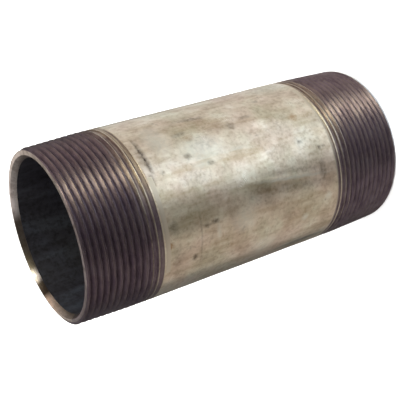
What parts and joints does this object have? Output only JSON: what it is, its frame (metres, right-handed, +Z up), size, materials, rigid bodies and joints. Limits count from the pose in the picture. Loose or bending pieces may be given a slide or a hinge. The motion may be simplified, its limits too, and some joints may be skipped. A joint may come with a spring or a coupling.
{
  "type": "pipe nipple",
  "caption": "Short length of galvanised steel pipe with a right-hand taper pipe thread on each end, for joining two internally threaded fittings.",
  "frame": {"origin": "centre of the lower end face, on the axis, at the level the nipple stands on", "axes": "+Z up along the pipe's axis, towards the end that the picture shows nearest"},
  "size_m": [0.0604, 0.0604, 0.127],
  "materials": {
    "galvanised_steel": "dull mottled zinc coating outside, bare dark steel on the cut threads and end faces"
  },
  "bodies": {
    "root": {"pipe_nipple": "galvanised_steel"}
  },
  "joints": []
}
